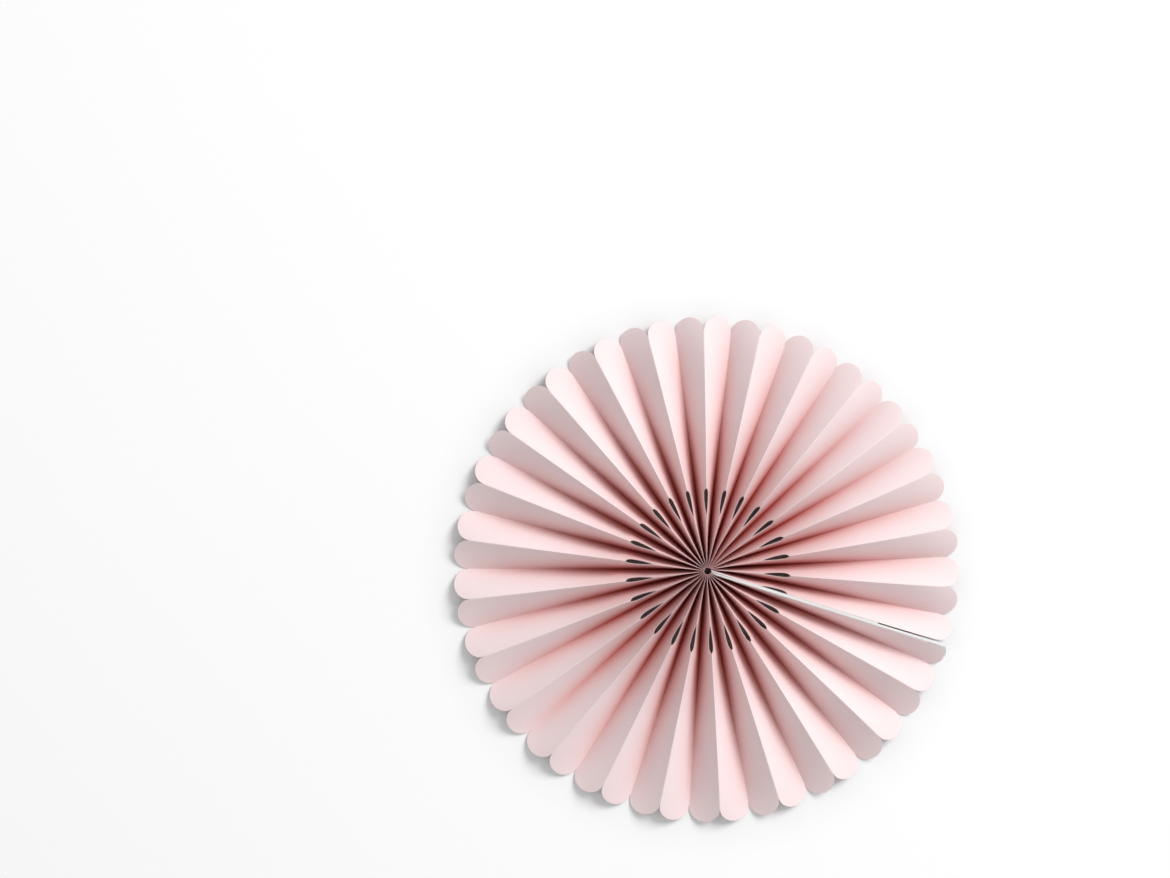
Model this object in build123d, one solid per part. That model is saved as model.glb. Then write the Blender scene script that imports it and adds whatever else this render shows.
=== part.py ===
"""Paper fan rosette: one strip of card, pleated, closed into a disc and held by a glued seam.

The rosette lies on its back. +Z is its axis and points out of the front, the origin is at the
centre of the back, and the valley folds lie in the plane z = 0.
"""
from build123d import *
import math
import os

# ---- Overall sizes, millimetres ----
RIM_RADIUS = 160.0           # from the centre to the tips of the tongues
RIM_PLEAT_HEIGHT = 8.2       # height that a pleat still has at the rim
RIDGE_COUNT = 26
CARD_THICKNESS = 0.2
HUB_PACKING = 1.15           # room that a ply gets at the centre, in card thicknesses

# ---- How evenly the pleats are spread ----
PITCH_SWING = 0.037          # slow change of the pleat width around the disc
FIRST_PANEL_SHARE = 0.86     # the panels beside the seam are drawn together
LAST_PANEL_SHARE = 0.68
SEAM_AZIMUTH = -17.5         # degrees, anticlockwise from +X

# ---- Rounded tongues at the rim ----
TONGUE_DEPTH = 9.4

# ---- Tear-shaped cut-outs on the ridges, as they look from the front ----
CUT_TIP_RADIUS = 34.0        # pointed end, towards the centre
CUT_LENGTH = 17.6
CUT_WIDTH = 2.7
CUT_SHOULDER = 0.8           # where the cut-out is widest, as a part of its length

# ---- Seam between the two ends of the strip ----
BOARD_THICKNESS = 1.0
OUTER_TAPE_THICKNESS = 0.15
INNER_TAPE_THICKNESS = 0.55
LAYER_CLEARANCE = 0.06       # between card, tape and board
BOARD_MARGIN = 0.5           # the board stands out this far around the tongue
FLAP_PART = 0.8              # part of a panel's width that the glue flap has
BOARD_FOOT = 4.5             # bottom edge of the board above the back
TAPE_FOOT = 6.0
INNER_TAPE_END = 112.0       # the inner tape stops here, and the seam gapes beyond it
OUTER_TAPE_END = 146.0

# ---- Thread through the inner ends of the pleats ----
THREAD_RADIUS = 7.0          # of the loop
THREAD_DIAMETER = 0.7
THREAD_HOLE_CLEARANCE = 0.12

# ---- Sizes that follow ----
PANEL_COUNT = 2 * RIDGE_COUNT
PANEL_ANGLE = 2 * math.pi / PANEL_COUNT
PANEL_WIDTH = math.hypot(RIM_RADIUS * PANEL_ANGLE, RIM_PLEAT_HEIGHT)
OUTER_TAPE_START = CARD_THICKNESS + LAYER_CLEARANCE     # distances from the last panel's front
BOARD_START = OUTER_TAPE_START + OUTER_TAPE_THICKNESS + LAYER_CLEARANCE
INNER_TAPE_START = BOARD_START + BOARD_THICKNESS + LAYER_CLEARANCE
SEAM_STACK = INNER_TAPE_START + INNER_TAPE_THICKNESS + LAYER_CLEARANCE
HUB_RADIUS = (PANEL_COUNT * CARD_THICKNESS * HUB_PACKING + SEAM_STACK) / (2 * math.pi)
BLANK_RADIUS = RIM_RADIUS + 0.6      # the strip before its tongues are cut
ROOT_RADIUS = RIM_RADIUS - TONGUE_DEPTH
SEAM_ANGLE = math.radians(SEAM_AZIMUTH)
STATION_COUNT = 15
CUTTER_HEIGHT = 2 * PANEL_WIDTH


def panel_weight(panel):
    """Plan width of a panel compared with an even one."""
    weight = 1 - PITCH_SWING * math.sin(2 * math.pi * (panel + 0.5) / PANEL_COUNT)
    if panel == 0:
        weight *= FIRST_PANEL_SHARE
    if panel == PANEL_COUNT - 1:
        weight *= LAST_PANEL_SHARE
    return weight


def fold_fractions():
    """Place of each fold around the disc at the rim, from 0 at the seam to 1 at the seam again."""
    weights = [panel_weight(panel) for panel in range(PANEL_COUNT)]
    fractions = [0.0]
    for weight in weights:
        fractions.append(fractions[-1] + weight / sum(weights))
    return fractions


RIM_FRACTIONS = fold_fractions()


def pleat_height(radius):
    """Height of a pleat, from the underside of a valley to the crest of a ridge."""
    return math.sqrt(PANEL_WIDTH ** 2 - (radius * PANEL_ANGLE) ** 2)


def upright_thickness(plan_width, height):
    """Card thickness measured along Z in a panel of this plan width and height."""
    card = CARD_THICKNESS
    slope_length = math.sqrt(height ** 2 + plan_width ** 2 - card ** 2)
    return card * (plan_width * slope_length - card * height) / (plan_width ** 2 - card ** 2)


def seam_gap(radius):
    """Distance between the two ends of the strip at the seam, measured level."""
    height = pleat_height(radius)
    rise = height - upright_thickness(radius * PANEL_ANGLE, height)
    return SEAM_STACK * math.hypot(radius * PANEL_ANGLE * LAST_PANEL_SHARE, rise) / rise


def fold_angle(fold, radius):
    """Azimuth of a fold, 0 to PANEL_COUNT. Even folds are ridges, odd ones valleys."""
    evenness = HUB_RADIUS / radius
    fraction = evenness * fold / PANEL_COUNT + (1 - evenness) * RIM_FRACTIONS[fold]
    gap_angle = seam_gap(radius) / radius
    return SEAM_ANGLE + gap_angle / 2 + fraction * (2 * math.pi - gap_angle)


def station_radii():
    """Radii where the curved folds are worked out, closer together near the centre."""
    steps = [step / (STATION_COUNT - 1) for step in range(STATION_COUNT)]
    return [HUB_RADIUS + (BLANK_RADIUS - HUB_RADIUS) * step ** 2 for step in steps]


def place(radius, angle, height):
    return Vector(radius * math.cos(angle), radius * math.sin(angle), height)


def curve(points):
    """Smooth line through one point for each station."""
    return Edge.make_spline(points, parameters=[float(step) for step in range(len(points))])


def skin(first, second):
    return Face.make_surface_from_curves(first, second)


def ply_solid(sections):
    """Solid between the curves through the corners of its sections.

    Each section is a list of corner points in the same order, from the centre to the rim.
    """
    curves = [curve(list(points)) for points in zip(*sections)]
    faces = [skin(curves[i - 1], curves[i]) for i in range(len(curves))]
    for section in (sections[0], sections[-1]):
        faces.append(Face(Wire.make_polygon(section, close=True)))
    return Solid(Shell(faces))


def fold_thickness(fold, radius):
    """Upright thickness at a fold, from the mean plan width of the panels beside it."""
    before = max(fold - 1, 0)
    after = min(fold + 1, PANEL_COUNT)
    span = fold_angle(after, radius) - fold_angle(before, radius)
    return upright_thickness(radius * span / (after - before), pleat_height(radius))


def fold_points(fold, radius):
    """Upper and lower point of the card at a fold."""
    angle = fold_angle(fold, radius)
    thickness = fold_thickness(fold, radius)
    top = pleat_height(radius) if fold % 2 == 0 else thickness
    return place(radius, angle, top), place(radius, angle, top - thickness)


def last_panel(radius):
    """Plan width and rise of the last panel's front face."""
    span = fold_angle(PANEL_COUNT, radius) - fold_angle(PANEL_COUNT - 1, radius)
    return radius * span, pleat_height(radius) - fold_thickness(PANEL_COUNT - 1, radius)


def flap_points(radius):
    """Upper and lower point of the card at the free edge of the glue flap.

    The flap hangs from the first ridge and lies under the last panel, on the other side of the
    board.
    """
    crest, under_crest = fold_points(0, radius)
    width, rise = last_panel(radius)
    angle = fold_angle(0, radius) - FLAP_PART * width / radius
    thickness = crest.Z - under_crest.Z
    top = crest.Z - FLAP_PART * rise
    return place(radius, angle, top), place(radius, angle, top - thickness)


def blank_card():
    """The pleated strip before its tongues, cut-outs and thread holes are cut."""
    radii = station_radii()
    rows = [[flap_points(radius) for radius in radii]]
    for fold in range(PANEL_COUNT + 1):
        rows.append([fold_points(fold, radius) for radius in radii])
    upper = [curve([pair[0] for pair in row]) for row in rows]
    lower = [curve([pair[1] for pair in row]) for row in rows]
    faces = [skin(upper[0], lower[0]), skin(upper[-1], lower[-1])]
    for i in range(len(rows) - 1):
        faces.append(skin(upper[i], upper[i + 1]))
        faces.append(skin(lower[i], lower[i + 1]))
        for end in (0, -1):
            here, following = rows[i][end], rows[i + 1][end]
            corners = [here[0], following[0], following[1], here[1]]
            faces.append(Face(Wire.make_polygon(corners, close=True)))
    return Solid(Shell(faces))


def tongue_face(start_angle, end_angle, margin=0.0):
    """Plan of one panel with its rounded end, from the axis to the rim."""
    middle = (start_angle + end_angle) / 2
    half = (end_angle - start_angle) / 2
    depth = RIM_RADIUS - ROOT_RADIUS * math.cos(half)
    half_chord = ROOT_RADIUS * math.sin(half)
    centre = place(ROOT_RADIUS * math.cos(half), middle, 0)
    arc = EllipticalCenterArc(centre, depth + margin, half_chord + margin, -90, arc_size=180,
                              rotation=math.degrees(middle))
    sides = Polyline(arc @ 1, (0, 0, 0), arc @ 0)
    return Face(Wire([arc, *sides.edges()]))


def upright_prism(face):
    return extrude(Pos(0, 0, -CUTTER_HEIGHT / 2) * face, CUTTER_HEIGHT, dir=(0, 0, 1))


def panel_tongue(panel, margin=0.0):
    angles = [fold_angle(fold, ROOT_RADIUS) for fold in (panel, panel + 1)]
    return tongue_face(angles[0], angles[1], margin)


def rim_outline():
    """Plan of the whole disc, with one tongue for each panel and one for the glue flap."""
    tongues = [panel_tongue(panel) for panel in range(PANEL_COUNT)]
    crest = fold_angle(0, ROOT_RADIUS)
    last = fold_angle(PANEL_COUNT, ROOT_RADIUS) - fold_angle(PANEL_COUNT - 1, ROOT_RADIUS)
    tongues.append(tongue_face(crest - last, crest))
    return Sketch() + tongues


def cut_out(fold):
    """Plan of the tear-shaped cut-out on one ridge."""
    middle = CUT_TIP_RADIUS + CUT_LENGTH / 2
    angle = fold_angle(fold, middle)
    shoulder = CUT_TIP_RADIUS + CUT_SHOULDER * CUT_LENGTH
    flank = CUT_TIP_RADIUS + 0.45 * CUT_LENGTH
    half = CUT_WIDTH / 2
    tip = (CUT_TIP_RADIUS, 0)
    left = ThreePointArc(tip, (flank, 0.72 * half), (shoulder, half))
    end = EllipticalCenterArc((shoulder, 0), CUT_LENGTH * (1 - CUT_SHOULDER), half, -90,
                              arc_size=180)
    right = ThreePointArc(tip, (flank, -0.72 * half), (shoulder, -half))
    return Rot(0, 0, math.degrees(angle)) * Face(Wire([left, end, right]))


def thread_loop(diameter):
    return Pos(0, 0, PANEL_WIDTH / 2) * Torus(THREAD_RADIUS, diameter / 2)


def seam_layer(start, thickness, foot):
    """A flat layer of the seam, parallel to the last panel and on its underside.

    start is its distance from the front of that panel, and foot the height of its bottom edge.
    """
    sections = []
    for radius in station_radii():
        height = pleat_height(radius)
        width, rise = last_panel(radius)
        slant = math.hypot(width, rise) / rise
        low = min(foot, 0.8 * height)
        drop = width * (height - low) / rise
        near = start * slant - seam_gap(radius) / 2
        far = near + thickness * slant
        corners = [(near, height), (far, height), (far - drop, low), (near - drop, low)]
        sections.append([Vector(radius, level, z) for level, z in corners])
    layer = Rot(0, 0, SEAM_AZIMUTH) * ply_solid(sections)
    return layer - thread_loop(THREAD_DIAMETER + 2 * THREAD_HOLE_CLEARANCE)


def make_pleated_card():
    card = blank_card() & upright_prism(rim_outline())
    cutters = [upright_prism(cut_out(fold)) for fold in range(0, PANEL_COUNT, 2)]
    card = card - cutters
    return card - thread_loop(THREAD_DIAMETER + 2 * THREAD_HOLE_CLEARANCE)


def make_seam_board():
    board = seam_layer(BOARD_START, BOARD_THICKNESS, BOARD_FOOT)
    first = fold_angle(PANEL_COUNT - 1, ROOT_RADIUS)
    last = fold_angle(0, ROOT_RADIUS) + 2 * math.pi
    return board & upright_prism(tongue_face(first, last, BOARD_MARGIN))


def make_tape(start, thickness, end_radius):
    tape = seam_layer(start, thickness, TAPE_FOOT)
    return tape & Cylinder(end_radius, CUTTER_HEIGHT)


def main():
    nodes = {
        "pleated_card": make_pleated_card(),
        "seam_board": make_seam_board(),
        "tape_outer": make_tape(OUTER_TAPE_START, OUTER_TAPE_THICKNESS, OUTER_TAPE_END),
        "tape_inner": make_tape(INNER_TAPE_START, INNER_TAPE_THICKNESS, INNER_TAPE_END),
        "binding_thread": thread_loop(THREAD_DIAMETER),
    }
    os.makedirs("parts", exist_ok=True)
    for name, solid in nodes.items():
        export_step(solid, f"parts/{name}.step")


main()
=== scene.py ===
"""Paper fan rosette: the folded card, the finish of its seam and thread, and the stage around it."""
import math

import bpy
from bpy.props import FloatProperty, FloatVectorProperty, PointerProperty
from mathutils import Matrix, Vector


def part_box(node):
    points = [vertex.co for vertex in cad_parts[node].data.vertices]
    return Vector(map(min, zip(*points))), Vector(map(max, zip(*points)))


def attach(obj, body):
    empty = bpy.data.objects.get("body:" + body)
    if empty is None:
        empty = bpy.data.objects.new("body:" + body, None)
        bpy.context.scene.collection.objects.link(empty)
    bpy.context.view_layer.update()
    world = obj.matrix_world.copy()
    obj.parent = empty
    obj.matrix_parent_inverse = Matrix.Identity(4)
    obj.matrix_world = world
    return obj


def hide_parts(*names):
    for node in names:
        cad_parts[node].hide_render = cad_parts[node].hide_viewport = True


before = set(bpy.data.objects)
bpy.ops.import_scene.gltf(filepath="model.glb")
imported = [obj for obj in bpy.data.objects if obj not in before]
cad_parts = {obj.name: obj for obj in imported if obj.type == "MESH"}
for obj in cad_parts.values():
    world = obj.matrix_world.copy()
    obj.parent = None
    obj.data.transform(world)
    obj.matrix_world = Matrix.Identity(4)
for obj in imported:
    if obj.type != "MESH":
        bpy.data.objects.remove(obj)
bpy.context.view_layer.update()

bl_info = {
    "name": "Paper Fan Rosette",
    "version": (1, 0, 0),
    "blender": (4, 5, 0),
    "location": "View3D > Sidebar > Rosette",
    "description": "Folds a pleated paper rosette, finishes it and sets its stage",
    "category": "Object",
}


CARD_LOW, CARD_HIGH = (Vector(corner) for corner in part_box("pleated_card"))
RIM_RADIUS = (CARD_HIGH.x - CARD_LOW.x) / 2
CARD_HEIGHT = CARD_HIGH.z - CARD_LOW.z


# ---- Shape of the folded sheet, in metres ----
RIDGES = 26
PANELS = 2 * RIDGES
PANEL_ANGLE = 2 * math.pi / PANELS       # of an even panel, seen from the front
RIM_PLEAT_HEIGHT = 0.0082                # height that a pleat still has at the rim
PANEL_WIDTH = math.hypot(RIM_RADIUS * PANEL_ANGLE, RIM_PLEAT_HEIGHT)
CARD_THICKNESS = 0.0002
HUB_RADIUS = 0.00224                     # of the hole at the centre
ROOT_RADIUS = RIM_RADIUS - 0.0094        # where the rounded tongues begin
TONGUE_START = RIM_RADIUS - 0.022        # the mesh turns to follow the tongues from here
PITCH_SWING = 0.037                      # slow change of the pleat width around the disc
FIRST_PANEL_SHARE = 0.86                 # the panels beside the seam are drawn together
LAST_PANEL_SHARE = 0.68
SEAM_ANGLE = math.radians(-17.5)
SEAM_STACK = 0.0022                      # room for the last panel, the tapes and the board
CUT_TIP = 0.034                          # from the centre to the pointed end of a cut-out
CUT_LENGTH = 0.0176
CUT_WIDTH = 0.0027                       # as it looks from the front
CUT_SHOULDER = 0.8                       # where a cut-out is widest, as a part of its length
CUT_FLANK_POWER = 0.9                    # below 1, it fills out the long flanks
CUT_LIMIT = 0.6                          # most of a panel's width that a cut-out may take
FOLD_ROUND = 0.00035                     # width of the blunted strip on each side of a fold
BELLY_MEAN = 0.0002                      # how far the panels bow upwards on average
BELLY_SWING = 0.0006                     # and how much that differs between them
BELLY_TURN = 2.4                         # step of that difference from panel to panel, in radians

# ---- Mesh of one panel ----
ROWS = 64                                # along the panel
HUB_ROWS = 14                            # those of them between the hub and the cut-out
CUT_ROWS = 22                            # those along the cut-out
RIM_ROWS = 12                            # those that follow the tongue
HUB_ROW_POWER = 1.5                      # above 1, it draws the rows together near the hub
COLUMNS = 12                             # across the panel
FOLD_COLUMNS = 2                         # those of them at each fold
FOLD_MERGE = 0.000004                    # points of two panels nearer than this become one
SMOOTH_ANGLE = math.radians(60)          # folds sharper than this stay sharp

# ---- Tone, painted shade and relief of the card ----
CLOUD_SHARE = 0.55                       # of the tone; the flecks give the rest
FIBRE_SHARE = 0.6                        # of the relief; the flecks give the rest
PAINTED_SHADE_STRENGTH = 0.95                         # strength of the painted shade, darker and redder, down in the folds
FOLD_SHADE = 0.75                         # part of it that follows the folds out to the rim
FOLD_SHADE_POWER = 2.2                    # above 1, it keeps that part low in the folds
RIM_FADE_POWER = 3                       # above 1, that part fades late on its way to the rim
HUB_SHADE = 0.3                           # part of the painted shade that covers the centre, crests and all
HUB_DEPTH_SHADE = 0.5                     # part of the painted shade at the centre that grows with the depth
HUB_FADE = 1.6                           # the centre's parts end at the rim radius over this

# ---- Stage, in metres ----
FLOOR_SIZE = 12.0
FLOOR_DROP = 0.0002                      # the floor lies this far below the folds
FLOOR_WHITE = 0.93
FLOOR_GLOW = 0.08                        # added only where the camera sees the floor itself
GLOW_START = 0.9                         # the glow begins at this many rim radii from the centre; nearer in, its absence is painted shade
GLOW_SLOPE = 4                           # and is full after one rim radius over this
KEY_DISTANCE = 5.0
KEY_SIZE = 2.6
VIEW_RADII = 4.6063                      # rim radii that the view takes in, across
VIEW_WIDTH = VIEW_RADII * RIM_RADIUS
VIEW_CENTRE_X = -0.48 * RIM_RADIUS       # middle of the view from the rosette's centre
VIEW_CENTRE_Y = 0.516 * RIM_RADIUS
SENSOR_WIDTH = 36.0                      # millimetres


# ---- Shader maths ----

class Value:
    """A socket that takes part in arithmetic."""

    def __init__(self, tree, socket):
        self.tree = tree
        self.socket = socket

    def math(self, operation, *others):
        return self.tree.node("ShaderNodeMath", {"operation": operation}, [self, *others])

    def __add__(self, other):
        return self.math("ADD", other)

    __radd__ = __add__

    def __mul__(self, other):
        return self.math("MULTIPLY", other)

    __rmul__ = __mul__

    def __sub__(self, other):
        return self.math("SUBTRACT", other)

    def __rsub__(self, other):
        return self.tree.node("ShaderNodeMath", {"operation": "SUBTRACT"}, [other, self])

    def __truediv__(self, other):
        return self.math("DIVIDE", other)

    def __pow__(self, other):
        return self.math("POWER", other)

    def clamp(self):
        return self.tree.node("ShaderNodeClamp", {}, [self])


class Finish:
    """A material and the nodes that feed its shader."""

    def __init__(self, name, roughness, specular):
        self.material = bpy.data.materials.new(name)
        self.material.use_nodes = True
        self.nodes = self.material.node_tree.nodes
        self.links = self.material.node_tree.links
        self.shader = self.nodes["Principled BSDF"]
        self.shader.inputs["Roughness"].default_value = roughness
        self.shader.inputs["Specular IOR Level"].default_value = specular
        coordinates = self.nodes.new("ShaderNodeTexCoord")
        self.place = Value(self, coordinates.outputs["Object"])
        self.level = self.node("ShaderNodeSeparateXYZ", {}, [self.place], output=2)
        self.flat_place = self.node("ShaderNodeVectorMath", {"operation": "MULTIPLY"},
                                    [self.place, (1.0, 1.0, 0.0)])

    def node(self, kind, settings, inputs, output=0):
        """Adds a node. Settings come first, then the values or links of its sockets."""
        made = self.nodes.new(kind)
        for key, value in settings.items():
            setattr(made, key, value)
        pairs = inputs.items() if isinstance(inputs, dict) else enumerate(inputs)
        for key, value in pairs:
            if isinstance(value, Value):
                self.links.new(value.socket, made.inputs[key])
            else:
                made.inputs[key].default_value = value
        return Value(self, made.outputs[output])

    def noise(self, scale, detail):
        """Noise from 0 to 1."""
        inputs = {"Vector": self.place, "Scale": scale, "Detail": detail}
        return self.node("ShaderNodeTexNoise", {}, inputs)

    def mix(self, factor, first, second):
        """Mix of two colours."""
        inputs = {0: factor, 6: first, 7: second}
        return self.node("ShaderNodeMix", {"data_type": "RGBA"}, inputs, output=2)

    def colour(self, value):
        self.links.new(value.socket, self.shader.inputs["Base Color"])

    def relief(self, height, depth):
        """Bump of this depth in metres."""
        bump = self.node("ShaderNodeBump", {}, {"Height": height, "Strength": 1.0, "Distance": depth})
        self.links.new(bump.socket, self.shader.inputs["Normal"])


def with_alpha(colour, shade=1.0):
    return (*[channel * shade for channel in colour], 1.0)


# ---- Finishes ----

def fold_depth(finish):
    """How deep a point lies in its pleat, and how far out it is.

    The depth goes from 0 at the crests to 1 at the valley folds, and the reach from 0 at the
    centre to 1 at the rim.
    """
    squared = finish.node("ShaderNodeVectorMath", {"operation": "DOT_PRODUCT"},
                          [finish.flat_place, finish.flat_place], output=1)
    height = (PANEL_WIDTH ** 2 - squared * PANEL_ANGLE ** 2) ** 0.5
    return (1 - finish.level / height).clamp(), squared ** 0.5 / RIM_RADIUS


def card_finish(colour, painted_shade_colour, fibre_depth):
    """Matt tinted card: a fine felt of fibres, faint clouds, and painted shade, darker and redder, down in
    the folds and over the centre.
    """
    finish = Finish("blush_card", roughness=0.72, specular=0.32)
    fibres = finish.noise(scale=2600.0, detail=4.0)
    clouds = finish.noise(scale=45.0, detail=3.0)
    flecks = finish.noise(scale=900.0, detail=2.0)
    tone = (clouds * CLOUD_SHARE + flecks * (1 - CLOUD_SHARE)).clamp()
    face = finish.mix(tone, with_alpha(colour, shade=0.965), with_alpha(colour, shade=1.03))
    depth, reach = fold_depth(finish)
    # Painted shade: the folds shade each other and throw red light at each other, most deeply in the
    # valleys and around the centre.
    fold_shade = depth ** FOLD_SHADE_POWER * (1 - reach ** RIM_FADE_POWER).clamp() * FOLD_SHADE
    hub_shade = (depth * HUB_DEPTH_SHADE + HUB_SHADE) * (1 - reach * HUB_FADE).clamp()
    painted_shade_amount = ((fold_shade + hub_shade) * PAINTED_SHADE_STRENGTH).clamp()
    finish.colour(finish.mix(painted_shade_amount, face, with_alpha(painted_shade_colour)))
    finish.relief(fibres * FIBRE_SHARE + flecks * (1 - FIBRE_SHARE), fibre_depth)
    return finish.material


def board_finish(colour):
    """White pulp board with a slightly rough surface."""
    finish = Finish("white_board", roughness=0.8, specular=0.25)
    grain = finish.noise(scale=1400.0, detail=3.0)
    finish.colour(finish.mix(grain, with_alpha(colour, shade=0.94), with_alpha(colour, shade=1.03)))
    finish.relief(grain, depth=0.00003)
    return finish.material


def tape_finish(colour):
    """White tape with a fine foam texture."""
    finish = Finish("white_tape", roughness=0.55, specular=0.4)
    cells = finish.noise(scale=3000.0, detail=1.0)
    finish.colour(finish.mix(cells, with_alpha(colour, shade=0.93), with_alpha(colour, shade=1.02)))
    finish.relief(cells, depth=0.00002)
    return finish.material


def thread_finish(colour):
    """Undyed cotton thread."""
    finish = Finish("white_thread", roughness=0.9, specular=0.2)
    strands = finish.noise(scale=4200.0, detail=2.0)
    finish.colour(finish.mix(strands, with_alpha(colour, shade=0.85), with_alpha(colour, shade=1.05)))
    finish.relief(strands, depth=0.00005)
    return finish.material


def floor_finish():
    """Plain pale floor that takes the rosette's shadow, with painted shade under and just around the
    rosette, where its glow is left out.
    """
    finish = Finish("floor_paint", roughness=0.9, specular=0.1)
    cloud = finish.noise(scale=3.0, detail=2.0)
    pale = (FLOOR_WHITE,) * 3
    finish.colour(finish.mix(cloud, with_alpha(pale), with_alpha(pale, shade=1.01)))
    seen = finish.node("ShaderNodeLightPath", {}, {}, output="Is Camera Ray")
    away = finish.node("ShaderNodeVectorMath", {"operation": "LENGTH"}, [finish.flat_place], output=1)
    # no glow under and just around the rosette: painted shade there, also seen through the cut-outs
    beyond_painted_shade = ((away / RIM_RADIUS - GLOW_START) * GLOW_SLOPE).clamp()
    dark, glowing = with_alpha((0.0,) * 3), with_alpha((FLOOR_GLOW,) * 3)
    glow = finish.mix(seen * beyond_painted_shade, dark, glowing)
    finish.links.new(glow.socket, finish.shader.inputs["Emission Color"])
    finish.shader.inputs["Emission Strength"].default_value = 1.0
    return finish.material


def dress(piece, material):
    piece.data.materials.clear()
    piece.data.materials.append(material)


# ---- Folding ----

def panel_weight(panel):
    """Plan width of a panel compared with an even one."""
    weight = 1 - PITCH_SWING * math.sin(2 * math.pi * (panel + 0.5) / PANELS)
    return weight * {0: FIRST_PANEL_SHARE, PANELS - 1: LAST_PANEL_SHARE}.get(panel, 1)


WEIGHTS = [panel_weight(panel) for panel in range(PANELS)]
RIM_FRACTIONS = [sum(WEIGHTS[:fold]) / sum(WEIGHTS) for fold in range(PANELS + 1)]


def pleat_height(radius):
    """Height of a pleat, greatest at the hub, so that the sheet keeps its width as it opens out."""
    return math.sqrt(max(PANEL_WIDTH ** 2 - (radius * PANEL_ANGLE) ** 2, 0.0))


def seam_gap(radius):
    """Distance between the two ends of the sheet at the seam, measured level."""
    height = pleat_height(radius)
    return SEAM_STACK * math.hypot(radius * PANEL_ANGLE * LAST_PANEL_SHARE, height) / height


def fold_angle(fold, radius):
    """Azimuth of a fold. Even folds are ridges, odd ones valleys."""
    evenness = HUB_RADIUS / radius
    fraction = evenness * fold / PANELS + (1 - evenness) * RIM_FRACTIONS[fold]
    gap = seam_gap(radius) / radius
    return SEAM_ANGLE + gap / 2 + fraction * (2 * math.pi - gap)


def cut_half_width(radius):
    """Half width of the tear-shaped cut-out at this radius, seen from the front."""
    along = (radius - CUT_TIP) / CUT_LENGTH
    if not 0 < along < 1:
        return 0.0
    if along < CUT_SHOULDER:
        return CUT_WIDTH / 2 * math.sin(math.pi / 2 * along / CUT_SHOULDER) ** CUT_FLANK_POWER
    back = (along - CUT_SHOULDER) / (1 - CUT_SHOULDER)
    return CUT_WIDTH / 2 * math.sqrt(1 - back ** 2)


def row_radii():
    """Radii of the rows inside the tongues, close together at both ends of the cut-outs."""
    hub_steps = [(step / HUB_ROWS) ** HUB_ROW_POWER for step in range(HUB_ROWS)]
    inner = [HUB_RADIUS + (CUT_TIP - HUB_RADIUS) * step for step in hub_steps]
    turns = [math.pi * step / CUT_ROWS for step in range(CUT_ROWS)]
    cut = [CUT_TIP + CUT_LENGTH * (1 - math.cos(turn)) / 2 for turn in turns]
    left = ROWS - RIM_ROWS - HUB_ROWS - CUT_ROWS
    start = CUT_TIP + CUT_LENGTH
    outer = [start + (TONGUE_START - start) * step / left for step in range(left + 1)]
    return inner + cut + outer


def column_places(start):
    """Places across a panel, from start beside the ridge to 1 at the valley.

    They lie closer together at both folds. The ridge itself is at 0, and start is above 0 only
    where the cut-out has taken the ridge away.
    """
    rounding = FOLD_ROUND / PANEL_WIDTH
    inside = COLUMNS - 2 * FOLD_COLUMNS
    middle = [(1 - math.cos(math.pi * step / inside)) / 2 for step in range(inside + 1)]
    low, high = 2 * rounding, 1 - 2 * rounding
    places = [0.0, rounding, *[low + (high - low) * place for place in middle], 1 - rounding, 1.0]
    return [start + (1 - start) * place for place in places]


def folded_point(ridge, valley, radius, across, belly):
    """Point of a panel between its ridge and its valley at this radius."""
    ridge_angle, valley_angle = fold_angle(ridge, radius), fold_angle(valley, radius)
    angle = ridge_angle + (valley_angle - ridge_angle) * across
    height = pleat_height(radius)
    rounding = FOLD_ROUND / PANEL_WIDTH
    crest = max(0.0, 1 - across / rounding)
    trough = max(0.0, 1 - (1 - across) / rounding)
    level = CARD_THICKNESS / 2 + (height - CARD_THICKNESS) * (1 - across)
    level += (trough - crest) * rounding * height / 2
    reach = radius / RIM_RADIUS
    level += belly * math.sin(math.pi * across) * reach * (1 - across * (1 - across))
    return Vector((radius * math.cos(angle), radius * math.sin(angle), level))


def panel_points(panel, belly):
    """Points of one panel, row by row from the centre to its rounded tip."""
    ridge, valley = (panel, panel + 1) if panel % 2 == 0 else (panel + 1, panel)
    points = []
    for radius in row_radii():
        span = abs(fold_angle(valley, radius) - fold_angle(ridge, radius)) * radius
        start = min(cut_half_width(radius) / span, CUT_LIMIT)
        points += [folded_point(ridge, valley, radius, place, belly) for place in column_places(start)]
    for row in range(1, RIM_ROWS + 1):
        for place in column_places(0.0):
            tip = ROOT_RADIUS + (RIM_RADIUS - ROOT_RADIUS) * math.sqrt(1 - (2 * place - 1) ** 2)
            radius = TONGUE_START + (tip - TONGUE_START) * row / RIM_ROWS
            points.append(folded_point(ridge, valley, radius, place, belly))
    return points


def flat_panel():
    """A flat grid, ready to be folded into any of the panels."""
    bpy.ops.object.select_all(action="DESELECT")
    bpy.ops.mesh.primitive_grid_add(x_subdivisions=COLUMNS, y_subdivisions=ROWS, size=1)
    return bpy.context.active_object


def join_panels(panels, name):
    """One sheet from all the panels, merged along their shared folds."""
    bpy.ops.object.select_all(action="DESELECT")
    for panel in panels:
        panel.select_set(True)
    bpy.context.view_layer.objects.active = panels[0]
    bpy.ops.object.join()
    sheet = bpy.context.active_object
    sheet.name = name
    bpy.ops.object.mode_set(mode="EDIT")
    bpy.ops.mesh.select_all(action="SELECT")
    bpy.ops.mesh.remove_doubles(threshold=FOLD_MERGE)
    bpy.ops.mesh.normals_make_consistent(inside=False)
    bpy.ops.object.mode_set(mode="OBJECT")
    return sheet


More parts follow.
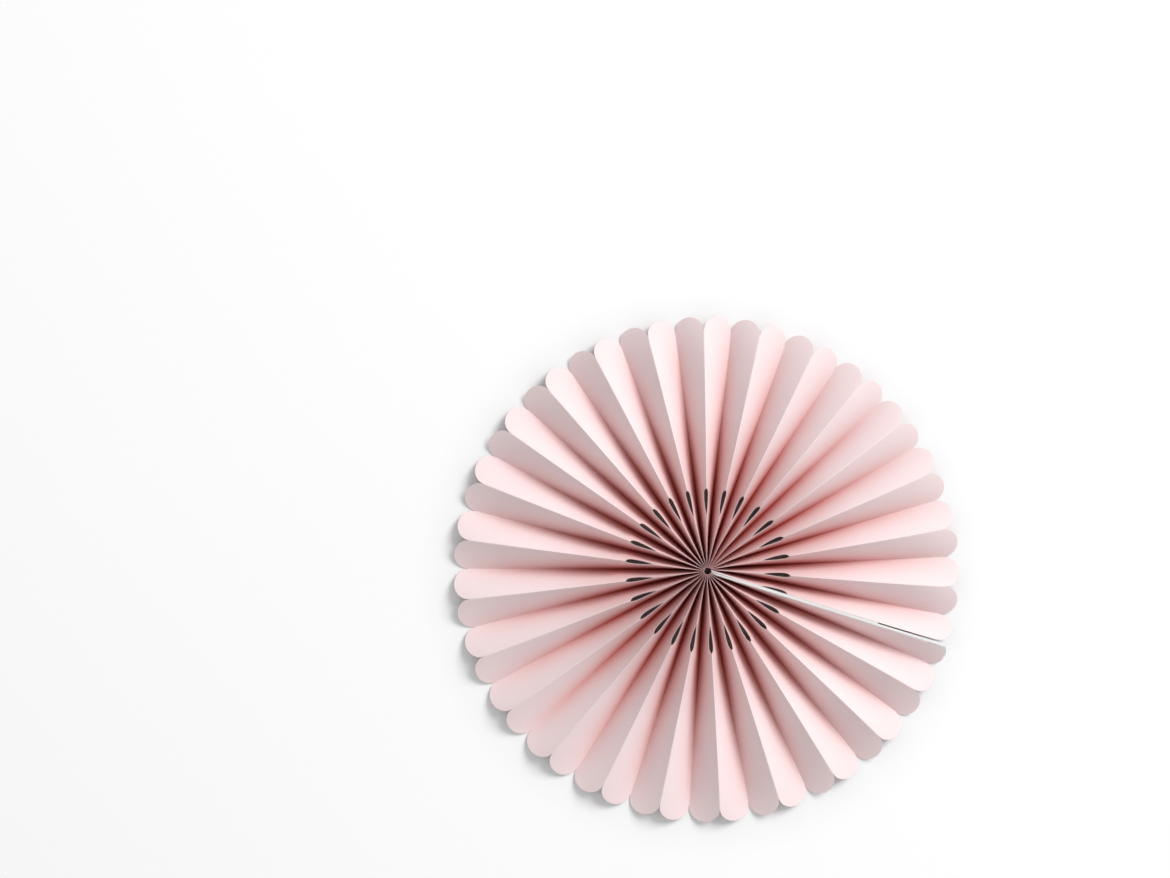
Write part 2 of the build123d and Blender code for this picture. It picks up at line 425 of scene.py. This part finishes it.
def fold_card():
    """The whole pleated sheet, folded panel by panel and given its thickness."""
    pattern = flat_panel()
    panels = []
    for panel in range(PANELS):
        belly = BELLY_SWING * math.sin(panel * BELLY_TURN) + BELLY_MEAN
        piece = pattern if panel == PANELS - 1 else pattern.copy()
        piece.data = pattern.data.copy()
        if piece is not pattern:
            bpy.context.collection.objects.link(piece)
        points = panel_points(panel, belly)
        piece.data.vertices.foreach_set("co", [value for point in points for value in point])
        panels.append(piece)
    sheet = join_panels(panels, "pleated_card_skin")
    thickness = sheet.modifiers.new("thickness", "SOLIDIFY")
    thickness.thickness = CARD_THICKNESS
    thickness.offset = 0.0
    bpy.ops.object.modifier_apply(modifier=thickness.name)
    bpy.ops.object.shade_smooth_by_angle(angle=SMOOTH_ANGLE)
    return sheet


# ---- Light and camera ----

def add_key(settings):
    """Large soft lamp, aimed at the rosette."""
    flat = math.cos(settings.key_height) * KEY_DISTANCE
    place = Vector((flat * math.cos(settings.key_azimuth), flat * math.sin(settings.key_azimuth),
                    math.sin(settings.key_height) * KEY_DISTANCE))
    bpy.ops.object.light_add(type="AREA", location=place)
    lamp = bpy.context.active_object
    lamp.name = "key_lamp"
    lamp.rotation_euler = (-place).to_track_quat("-Z", "Y").to_euler()
    lamp.data.shape = "DISK"
    lamp.data.size = KEY_SIZE
    lamp.data.energy = settings.key_power


def add_sky(scene, strength):
    """Even white light from all around."""
    world = bpy.data.worlds.new("sky")
    world.use_nodes = True
    background = world.node_tree.nodes["Background"]
    background.inputs["Color"].default_value = (1.0, 1.0, 1.0, 1.0)
    background.inputs["Strength"].default_value = strength
    scene.world = world


def add_camera(scene, lens):
    """Camera that looks straight down on the rosette's front."""
    distance = VIEW_WIDTH * lens / SENSOR_WIDTH
    place = (VIEW_CENTRE_X, VIEW_CENTRE_Y, CARD_HEIGHT / 2 + distance)
    bpy.ops.object.camera_add(location=place, rotation=(0, 0, 0))
    camera = bpy.context.active_object
    camera.data.lens = lens
    camera.data.sensor_width = SENSOR_WIDTH
    scene.camera = camera


# ---- Settings ----

class RosetteCardSettings(bpy.types.PropertyGroup):
    colour: FloatVectorProperty(name="Card colour", description="Tint of the card", subtype="COLOR",
                                size=3, default=(0.90, 0.745, 0.750), min=0, max=1)
    # colour of the painted shade down in the folds and around the centre
    painted_shade_colour: FloatVectorProperty(name="Deep colour", description="Tint down in the folds",
                                     subtype="COLOR", size=3, default=(0.56, 0.085, 0.055),
                                     min=0, max=1)
    fibre_depth: FloatProperty(name="Fibre depth", description="Relief of the card's fibres",
                               default=0.00002, unit="LENGTH")


class RosetteSeamSettings(bpy.types.PropertyGroup):
    board_colour: FloatVectorProperty(name="Board colour", description="Colour of the board and the tapes",
                                      subtype="COLOR", size=3, default=(0.87, 0.86, 0.85),
                                      min=0, max=1)
    thread_colour: FloatVectorProperty(name="Thread colour", description="Colour of the thread",
                                       subtype="COLOR", size=3, default=(0.8, 0.78, 0.75),
                                       min=0, max=1)


class RosetteStageSettings(bpy.types.PropertyGroup):
    key_power: FloatProperty(name="Key power", description="Power of the large soft lamp in watts",
                             default=190.0)
    key_azimuth: FloatProperty(name="Key azimuth", description="Direction that the light comes from",
                               subtype="ANGLE", default=math.radians(42))
    key_height: FloatProperty(name="Key height", description="Angle of the light above the floor",
                              subtype="ANGLE", default=math.radians(38))
    sky: FloatProperty(name="Sky", description="Strength of the light from all around", default=0.54)
    lens: FloatProperty(name="Lens", description="Focal length in millimetres", default=60.0)


# ---- Operators ----

class ROSETTE_OT_card(bpy.types.Operator):
    """Fold the card and finish it"""
    bl_idname = "rosette.card"
    bl_label = "Pleated card"

    def execute(self, context):
        settings = context.scene.rosette_card
        card = fold_card()
        finish = card_finish(settings.colour, settings.painted_shade_colour, settings.fibre_depth)
        dress(card, finish)
        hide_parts("pleated_card")
        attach(card, "root")
        return {"FINISHED"}


class ROSETTE_OT_seam(bpy.types.Operator):
    """Finish the board and the tapes of the seam"""
    bl_idname = "rosette.seam"
    bl_label = "Seam"

    def execute(self, context):
        settings = context.scene.rosette_seam
        dress(bpy.data.objects["seam_board"], board_finish(settings.board_colour))
        tape = tape_finish(settings.board_colour)
        dress(bpy.data.objects["tape_outer"], tape)
        dress(bpy.data.objects["tape_inner"], tape)
        return {"FINISHED"}


class ROSETTE_OT_thread(bpy.types.Operator):
    """Finish the binding thread"""
    bl_idname = "rosette.thread"
    bl_label = "Binding thread"

    def execute(self, context):
        settings = context.scene.rosette_seam
        dress(bpy.data.objects["binding_thread"], thread_finish(settings.thread_colour))
        return {"FINISHED"}


class ROSETTE_OT_stage(bpy.types.Operator):
    """Floor, light and camera"""
    bl_idname = "rosette.stage"
    bl_label = "Stage"

    def execute(self, context):
        settings = context.scene.rosette_stage
        bpy.ops.object.select_all(action="DESELECT")
        bpy.ops.mesh.primitive_plane_add(size=FLOOR_SIZE, location=(0, 0, -FLOOR_DROP))
        floor = context.active_object
        floor.name = "floor"
        dress(floor, floor_finish())
        add_key(settings)
        add_sky(context.scene, settings.sky)
        add_camera(context.scene, settings.lens)
        return {"FINISHED"}


# ---- Panel and registration ----

class ROSETTE_PT_panel(bpy.types.Panel):
    """Settings and operators of the rosette"""
    bl_label = "Paper Fan Rosette"
    bl_space_type = "VIEW_3D"
    bl_region_type = "UI"
    bl_category = "Rosette"

    def draw(self, context):
        column = self.layout.column()
        for settings in SETTINGS:
            group = getattr(context.scene, settings)
            for name in group.__annotations__:
                column.prop(group, name)
        for operator in OPERATORS:
            column.operator(operator.bl_idname)


SETTINGS = {
    "rosette_card": RosetteCardSettings,
    "rosette_seam": RosetteSeamSettings,
    "rosette_stage": RosetteStageSettings,
}
OPERATORS = (ROSETTE_OT_card, ROSETTE_OT_seam, ROSETTE_OT_thread, ROSETTE_OT_stage)


def register():
    for group in SETTINGS.values():
        bpy.utils.register_class(group)
    for operator in OPERATORS:
        bpy.utils.register_class(operator)
    bpy.utils.register_class(ROSETTE_PT_panel)
    for name, group in SETTINGS.items():
        setattr(bpy.types.Scene, name, PointerProperty(type=group))


def unregister():
    for name in SETTINGS:
        delattr(bpy.types.Scene, name)
    bpy.utils.unregister_class(ROSETTE_PT_panel)
    for operator in reversed(OPERATORS):
        bpy.utils.unregister_class(operator)
    for group in SETTINGS.values():
        bpy.utils.unregister_class(group)


def main():
    register()
    bpy.context.scene.view_settings.view_transform = "Standard"
    bpy.ops.rosette.card()
    bpy.ops.rosette.seam()
    bpy.ops.rosette.thread()
    bpy.ops.rosette.stage()


if __name__ == "__main__":
    main()
